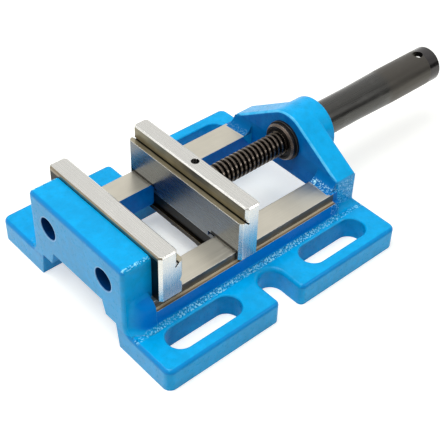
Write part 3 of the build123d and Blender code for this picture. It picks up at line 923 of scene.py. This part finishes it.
@dataclass
class Casting:
    """The cast body with its bare ways."""

    nodes: dict[str, bpy.types.Object]
    finishes: Finishes
    way_top: float = 38.5 * MM
    ledge_top: float = 31.5 * MM
    way_outside: float = 56.0 * MM
    screw_bore_radius: float = 8.6 * MM
    root_from: float = 72.5 * MM
    body_end: float = 92.0 * MM
    window_side: float = 35.0 * MM
    wall_front: float = 82.05 * MM
    wall_rim_to: float = 85.0 * MM
    slot_place: tuple[float, float] = (60.0 * MM, 75.0 * MM)
    slot_half_run: float = 20.0 * MM
    slot_radius: float = 10.4 * MM
    ways_from: float = -83.6 * MM
    ways_to: float = 74.0 * MM
    reach: float = 0.15 * MM

    def dress(self) -> None:
        """Paint the casting, with painted shade and painted highlights on some kinds of face, and
        bare the ways by where their faces lie.
        """
        finishes = {
            CastFace.ENAMEL: self.finishes.enamel,
            CastFace.WAY_TOP: self.finishes.ways,
            CastFace.WAY_SIDE: self.finishes.way_sides,
            CastFace.LEDGE: self.finishes.ledge,
            CastFace.SCREW_BORE: self.finishes.bore_shade_enamel,
            CastFace.WALL_FRONT: self.finishes.wall_shade_enamel,
            CastFace.WALL_RIM_HIGHLIGHT: self.finishes.rim_highlight_enamel,
            CastFace.SLOT: self.finishes.slot_shade_enamel,
            CastFace.WINDOW_SIDE: self.finishes.window_side_shade_enamel,
        }
        paint_by_face(self.nodes["body_casting"], finishes, self._kind)

    def _kind(self, centre: Vector, normal: Vector) -> CastFace:
        """Tell the kind of a face.

        Args:
            centre: Middle of the face.
            normal: Its direction.

        Returns:
            Its kind.
        """
        side, upright, level = abs(centre.y), abs(normal.y) > 0.9, normal.z > 0.9
        if self._in_screw_bore(centre) and abs(normal.x) < 0.5:
            return CastFace.SCREW_BORE
        if self.root_from < centre.x < self.wall_rim_to:
            above = centre.z > self.way_top + 0.05 * MM
            if normal.x < -0.9 or (above and normal.x < -0.02 and centre.x < self.wall_front):
                return CastFace.WALL_FRONT
            if above and -0.93 < normal.x < -0.38 and normal.z > 0.1:
                return CastFace.WALL_RIM_HIGHLIGHT
        if self._in_slot(centre) and abs(normal.z) < 0.3:
            return CastFace.SLOT
        if upright and -self.body_end < centre.x < self.root_from:
            if abs(side - self.window_side) < self.reach:
                return CastFace.WINDOW_SIDE
        if not self.ways_from < centre.x < self.ways_to:
            return CastFace.ENAMEL
        if level and abs(centre.z - self.way_top) < self.reach:
            return CastFace.WAY_TOP
        if level and abs(centre.z - self.ledge_top) < self.reach:
            return CastFace.LEDGE
        if upright and centre.z > self.ledge_top - 0.5 * MM:
            if abs(side - self.way_outside) < self.reach:
                return CastFace.WAY_SIDE
        return CastFace.ENAMEL

    def _in_screw_bore(self, centre: Vector) -> bool:
        """Return whether a place lies in one of the front block's two screw bores."""
        away = math.hypot(abs(centre.y) - CastMasks.bore_side, centre.z - CastMasks.bore_height)
        return centre.x < self.ways_from and away < self.screw_bore_radius

    def _in_slot(self, centre: Vector) -> bool:
        """Return whether a place lies in one of the four bolt slots or on its wall."""
        along = max(abs(abs(centre.x) - self.slot_place[0]) - self.slot_half_run, 0.0)
        return math.hypot(along, abs(centre.y) - self.slot_place[1]) < self.slot_radius


@dataclass
class Gusset:
    """The smooth cast corner that leads from the front block's side down to the body's side.

    Its section changes from the lean outline to the full one. Both give the place across the
    vise and the height of each point, in millimetres.
    """

    finishes: Finishes
    start: float = -104.5 * MM
    full_from: float = -91.5 * MM
    end: float = -86.5 * MM
    inside: float = 50.0 * MM
    underside: float = 17.0 * MM
    steps: int = 16
    lean: tuple[tuple[float, float], ...] = (
        (50.9, 44.0), (50.9, 41.5), (50.9, 38.5), (50.9, 33.5), (50.9, 28.0),
        (51.2, 23.5), (52.4, 20.4), (54.6, 18.5), (56.8, 17.9),
    )
    full: tuple[tuple[float, float], ...] = (
        (50.9, 44.0), (52.4, 41.6), (56.5, 38.8), (58.6, 35.4), (59.4, 31.0),
        (59.5, 24.0), (60.3, 20.4), (62.0, 18.6), (63.6, 17.9),
    )

    def build(self) -> None:
        """Add the corner on both sides."""
        for name, side in (("left", 1.0), ("right", -1.0)):
            piece = self._piece(f"cast_gusset_{name}", side)
            paint(piece, self.finishes.enamel)
            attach(piece, "base")

    def _piece(self, name: str, side: float) -> bpy.types.Object:
        """Model one corner from sections across the vise.

        Args:
            name: Name of the piece.
            side: 1 for the left side and -1 for the right one.

        Returns:
            The piece.
        """
        mesh = bmesh.new()
        rings = []
        for step in range(self.steps + 1):
            x = self.start + (self.end - self.start) * step / self.steps
            ring = [mesh.verts.new((x, side * y * MM, z * MM)) for y, z in self._outline(x)]
            ring.append(mesh.verts.new((x, side * self.inside, self.underside)))
            ring.append(mesh.verts.new((x, side * self.inside, self.lean[0][1] * MM)))
            rings.append(ring)
        bridge(mesh, rings)
        bmesh.ops.recalc_face_normals(mesh, faces=mesh.faces[:])
        return finish_mesh(mesh, name)

    def _outline(self, x: float) -> list[tuple[float, float]]:
        """Return the open outline at one place along the vise.

        Args:
            x: The place.

        Returns:
            Place across and height of each point, in millimetres.
        """
        share = min((x - self.start) / (self.full_from - self.start), 1.0)
        share = share * share * (3.0 - 2.0 * share)
        return [
            (low[0] + (high[0] - low[0]) * share, low[1] + (high[1] - low[1]) * share)
            for low, high in zip(self.lean, self.full)
        ]


class JawFace(Enum):
    """Kinds of face on the two jaws."""

    GROUND = "ground face"
    RELIEF = "cut at the foot of the step"
    RISER = "riser of the step"
    END = "end"
    FRONT = "moving jaw's front"
    STEP_FLOOR = "floor of the step"
    PLATE_BACK = "back of the plate"


@dataclass
class Jaws:
    """The fixed jaw plate, and the moving jaw with its guide and keeper."""

    nodes: dict[str, bpy.types.Object]
    finishes: Finishes
    step_height: float = 65.2 * MM
    cut_reach: float = 3.2 * MM
    riser_places: tuple[float, float] = (-69.0 * MM, -11.8 * MM)
    ends_from: float = 58.0 * MM
    plate_back_before: float = -80.0 * MM
    moving_from: float = -20.0 * MM
    reach: float = 0.15 * MM
    fasteners: tuple[str, ...] = (
        "fixed_jaw_screw", "fixed_jaw_washer", "keeper_screw", "keeper_dowel", "spindle_lock_screw"
    )

    def dress(self) -> None:
        """Give the jaws ground steel, with painted shade and painted reflections on some faces, and
        their fasteners black oxide.
        """
        finishes = {
            JawFace.GROUND: self.finishes.jaw,
            JawFace.RELIEF: self.finishes.relief,
            JawFace.RISER: self.finishes.riser,
            JawFace.END: self.finishes.jaw_end,
            JawFace.FRONT: self.finishes.jaw_front,
            JawFace.STEP_FLOOR: self.finishes.step_floor,
            JawFace.PLATE_BACK: self.finishes.plate_back,
        }
        for name in ("fixed_jaw_plate", "moving_jaw"):
            paint_by_face(self.nodes[name], finishes, self._kind)
        paint(self.nodes["guide_block"], self.finishes.guide)
        paint(self.nodes["keeper_plate"], self.finishes.keeper)
        for name, node in self.nodes.items():
            if name.startswith(self.fasteners):
                paint(node, self.finishes.fastener)

    def _kind(self, centre: Vector, normal: Vector) -> JawFace:
        """Tell the kind of a jaw's face.

        Args:
            centre: Middle of the face.
            normal: Its direction.

        Returns:
            Its kind.
        """
        at_step = abs(centre.z - self.step_height) < self.cut_reach
        slanted = abs(normal.x) > 0.3 and abs(normal.z) > 0.3
        risers = (abs(centre.x - place) < self.reach for place in self.riser_places)
        if slanted and at_step:
            return JawFace.RELIEF
        if abs(normal.x) > 0.9 and centre.z > self.step_height and any(risers):
            return JawFace.RISER
        if abs(normal.y) > 0.9 and abs(centre.y) > self.ends_from:
            return JawFace.END
        if centre.x < self.plate_back_before and (normal.x < -0.9 or (slanted and normal.x < 0.0)):
            return JawFace.PLATE_BACK
        if normal.x < -0.9 and centre.x > self.moving_from:
            return JawFace.FRONT
        if normal.z > 0.9 and at_step:
            return JawFace.STEP_FLOOR
        return JawFace.GROUND


@dataclass
class Spindle:
    """The trapezoidal spindle, its threaded sleeve and what they bear on."""

    nodes: dict[str, bpy.types.Object]
    finishes: Finishes
    axis_height: float
    tip: float
    end: float
    thread_from: float = 0.9 * MM
    pitch: float = 4.0 * MM
    crest_radius: float = 8.98 * MM
    root_radius: float = 7.0 * MM
    crest_width: float = 1.46 * MM
    flank_width: float = 0.54 * MM
    end_chamfer: float = 1.0 * MM
    shank_radius: float = 8.9 * MM
    groove_radius: float = 7.8 * MM
    groove_from: float = -8.0 * MM
    groove_to: float = -1.6 * MM
    bright_crest_depth: float = 0.13 * MM
    sides: int = 64

    def build(self) -> None:
        """Model the spindle with its left-hand thread, in place of the plain CAD spindle."""
        mesh = bmesh.new()
        self._add_shank(mesh)
        self._add_thread(mesh)
        piece = finish_mesh(mesh, "threaded_spindle")
        bright_from = self.crest_radius - self.bright_crest_depth
        paint(piece, ThreadSteel("turned_thread", bright_from, self.root_radius, self.axis_height))
        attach(piece, "jaw_unit")
        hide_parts("spindle_screw")

    def _point(self, x: float, radius: float, side: int) -> Point:
        """Return a place on a circle round the spindle's axis, by the number of its side."""
        angle = 2.0 * math.pi * side / self.sides
        return (x, radius * math.cos(angle), self.axis_height + radius * math.sin(angle))

    def _add_shank(self, mesh: bmesh.types.BMesh) -> None:
        """Add the plain end in the jaw, with the groove for its lock screw.

        Args:
            mesh: The spindle's geometry.
        """
        profile = (
            (self.tip, self.shank_radius - self.end_chamfer),
            (self.tip + self.end_chamfer, self.shank_radius),
            (self.groove_from, self.shank_radius),
            (self.groove_from, self.groove_radius),
            (self.groove_to, self.groove_radius),
            (self.groove_to, self.shank_radius),
            (self.thread_from, self.shank_radius),
        )
        rings = [
            [mesh.verts.new(self._point(x, radius, side)) for side in range(self.sides)]
            for x, radius in profile
        ]
        bridge(mesh, rings)

    def _thread_radius(self, phase: float) -> float:
        """Return the thread's radius at a place within one pitch.

        Args:
            phase: Distance along the axis from the start of the crest, within one pitch.

        Returns:
            The radius, between the root's and the crest's.
        """
        depth = self.crest_radius - self.root_radius
        root_from = self.crest_width + self.flank_width
        root_to = self.pitch - self.flank_width
        if phase <= self.crest_width:
            return self.crest_radius
        if phase < root_from:
            return self.crest_radius - depth * (phase - self.crest_width) / self.flank_width
        if phase <= root_to:
            return self.root_radius
        return self.root_radius + depth * (phase - root_to) / self.flank_width

    def _thread_column(self, side: int) -> list[Point]:
        """Work out the thread's profile along one side of the spindle.

        Args:
            side: Number of the side, from which the helix lags by its share of a pitch.

        Returns:
            Places from the thread's start to its chamfered end.
        """
        lead = -self.pitch * side / self.sides
        turns = math.ceil((self.end - self.thread_from) / self.pitch) + 1
        breaks = (
            0.0,
            self.crest_width,
            self.crest_width + self.flank_width,
            self.pitch - self.flank_width,
        )
        column = []
        for turn in range(turns + 1):
            for offset in breaks:
                x = self.thread_from + turn * self.pitch + offset + lead
                held = min(max(x, self.thread_from), self.end)
                radius = self._thread_radius((held - self.thread_from - lead) % self.pitch)
                spare = self.end_chamfer - (self.end - held)
                radius = min(radius, self.crest_radius - max(spare, 0.0))
                column.append(self._point(held, radius, side))
        return column

    def _add_thread(self, mesh: bmesh.types.BMesh) -> None:
        """Add the threaded length, as columns of vertices that follow the helix.

        Args:
            mesh: The spindle's geometry.
        """
        columns = [
            [mesh.verts.new(point) for point in self._thread_column(side)]
            for side in range(self.sides + 1)
        ]
        for first, second in zip(columns, columns[1:]):
            for place in range(len(first) - 1):
                mesh.faces.new((first[place], second[place], second[place + 1], first[place + 1]))
        bmesh.ops.remove_doubles(mesh, verts=mesh.verts[:], dist=0.002 * MM)
        open_edges = [edge for edge in mesh.edges if edge.is_boundary]
        bmesh.ops.holes_fill(mesh, edges=open_edges, sides=0)
        bmesh.ops.recalc_face_normals(mesh, faces=mesh.faces[:])

    def dress(self) -> None:
        """Dress the sleeve with its lighter bevel, its bush and its washers."""
        finishes = {False: self.finishes.sleeve, True: self.finishes.bevel}
        paint_by_face(self.nodes["threaded_sleeve"], finishes, self._on_bevel)
        paint(self.nodes["sleeve_bush"], self.finishes.bronze)
        paint(self.nodes["thrust_washer_front"], self.finishes.washer)
        paint(self.nodes["thrust_washer_rear"], self.finishes.pale_washer)

    @staticmethod
    def _on_bevel(centre: Vector, normal: Vector) -> bool:
        """Return whether a face of the sleeve slants to the front."""
        return -0.95 < normal.x < -0.4


@dataclass
class Handle:
    """The tube handle with its cross-hole and its grub screws."""

    nodes: dict[str, bpy.types.Object]
    finishes: Finishes
    axis_height: float
    bore_radius: float = 11.2 * MM

    def dress(self) -> None:
        """Blacken the tube outside, leave its bore bright and dress its grub screws."""
        finishes = {False: self.finishes.handle, True: self.finishes.bore}
        paint_by_face(self.nodes["handle_tube"], finishes, self._in_bore)
        for name in ("handle_lock_screw_side", "handle_lock_screw_lower"):
            paint(self.nodes[name], self.finishes.fastener)

    def _in_bore(self, centre: Vector, normal: Vector) -> bool:
        """Return whether a face of the tube runs lengthwise inside it."""
        away = math.hypot(centre.y, centre.z - self.axis_height)
        return abs(normal.x) < 0.1 and away < self.bore_radius


@dataclass(frozen=True)
class SoftLight:
    """A square area light: where it hangs, the length of its side and its power in watts."""

    name: str
    place: Point
    size: float
    power: float


@dataclass
class Studio:
    """Camera, white surroundings and soft lights."""

    lens: float = 80.32
    sensor: float = 36.0
    view_depth: float = 20.0
    azimuth: float = -42.67
    elevation: float = 41.93
    roll: float = 1.92
    eye: Point = (-0.3449, -0.3958, 0.4916)
    floor_size: float = 6.0
    floor_cells: int = 8
    target: Point = (0.03, 0.0, 0.03)
    lights: tuple[SoftLight, ...] = (
        SoftLight("overhead_light", (-0.25, 0.15, 1.2), 0.8, 10.0),
        SoftLight("left_edge_light", (-0.80, 0.66, 0.60), 0.2, 0.2),
        SoftLight("right_edge_light", (0.58, -0.80, 0.66), 0.2, 0.9),
    )

    def build(self) -> None:
        """Add the camera, the floor, the world and the lights."""
        self._add_camera()
        self._add_floor()
        self._set_world()
        for light in self.lights:
            self._add_light(light)

    def _add_camera(self) -> None:
        """Place the camera where the photograph was taken from."""
        data = bpy.data.cameras.new("camera")
        data.lens = self.lens
        data.sensor_width = self.sensor
        data.sensor_fit = "HORIZONTAL"
        data.clip_end = self.view_depth
        camera = bpy.data.objects.new("camera", data)
        bpy.context.scene.collection.objects.link(camera)
        turn, lift, lean = (math.radians(a) for a in (self.azimuth, self.elevation, self.roll))
        ahead = Vector(
            (-math.sin(turn) * math.cos(lift), math.cos(turn) * math.cos(lift), -math.sin(lift))
        )
        level = Vector((math.cos(turn), math.sin(turn), 0.0))
        up = level.cross(ahead)
        right = math.cos(lean) * level + math.sin(lean) * up
        upward = -math.sin(lean) * level + math.cos(lean) * up
        rotation = Matrix((right, upward, -ahead)).transposed()
        camera.matrix_world = Matrix.Translation(self.eye) @ rotation.to_4x4()
        bpy.context.scene.camera = camera

    def _add_floor(self) -> None:
        """Add a wide pale floor that keeps the vise's shadow."""
        mesh = bmesh.new()
        cells = self.floor_cells
        bmesh.ops.create_grid(mesh, x_segments=cells, y_segments=cells, size=self.floor_size / 2)
        floor = finish_mesh(mesh, "floor")
        paint(floor, PaleFloor("pale_floor"))

    @staticmethod
    def _set_world() -> None:
        """Make the surroundings white to the eye, softer as a light and shaded in gloss."""
        world = bpy.data.worlds.new("studio")
        bpy.context.scene.world = world
        tree = NodeTree(world)
        direction = tree.node("TexCoord", output="Generated")
        split = tree.node("SeparateXYZ", inputs={0: direction})
        aside, height = tree.outputs_of(split, "Y", "Z")
        right = aside * -1.0
        dome = tree.mix(tree.step(height, 0.12, 0.62), WHITE, grey(0.88))
        low_right = tree.step(right, 0.30, 0.55) * (1.0 - tree.step(height, 0.26, 0.42))
        dome = tree.mix(low_right, dome, grey(0.03))
        high_right = tree.step(right, 0.0, 0.5) * tree.step(height, 0.3, 0.5)
        dome = tree.mix(high_right * 0.5, dome, grey(0.2))
        sky = tree.mix(tree.step(height, 0.0, 0.9), grey(0.16), (0.62, 0.63, 0.65))
        soft, mirrored, white = (
            tree.node("Background", inputs={"Color": colour, "Strength": 1.0})
            for colour in (sky, dome, WHITE)
        )
        camera, glossy, clear = tree.rays()
        mixed = tree.node("MixShader", inputs={0: glossy, 1: soft, 2: mirrored})
        mixed = tree.node("MixShader", inputs={0: camera.at_least(clear), 1: mixed, 2: white})
        tree.node("OutputWorld", inputs={"Surface": mixed})

    def _add_light(self, light: SoftLight) -> None:
        """Hang one light, facing the vise.

        Args:
            light: The light's place, size and power.
        """
        data = bpy.data.lights.new(light.name, "AREA")
        data.shape = "SQUARE"
        data.size = light.size
        data.energy = light.power
        lamp = bpy.data.objects.new(light.name, data)
        lamp.location = light.place
        facing = Vector(self.target) - Vector(light.place)
        lamp.rotation_euler = facing.to_track_quat("-Z", "Y").to_euler()
        bpy.context.scene.collection.objects.link(lamp)


def corners(box: Iterable[Sequence[float]]) -> list[list[float]]:
    """Return a box's two corners as plain lists."""
    return [list(map(float, corner)) for corner in box]


def main() -> None:
    """Load the frame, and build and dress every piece."""
    logging.basicConfig(level=logging.INFO, format="%(name)s: %(message)s")
    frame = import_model()
    bpy.context.scene.view_settings.view_transform = "Standard"
    nodes, finishes = frame["nodes"], Finishes()
    spin = next(joint for joint in frame["joints"] if joint["name"] == "handle_spin")
    axis_height = spin["pos_m"][2]
    tip, end = (corner[0] for corner in corners(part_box("spindle_screw")))
    Casting(nodes, finishes).dress()
    Gusset(finishes).build()
    Jaws(nodes, finishes).dress()
    spindle = Spindle(nodes, finishes, axis_height, tip, end)
    spindle.dress()
    spindle.build()
    Handle(nodes, finishes, axis_height).dress()
    Studio().build()


if __name__ == "__main__":
    main()
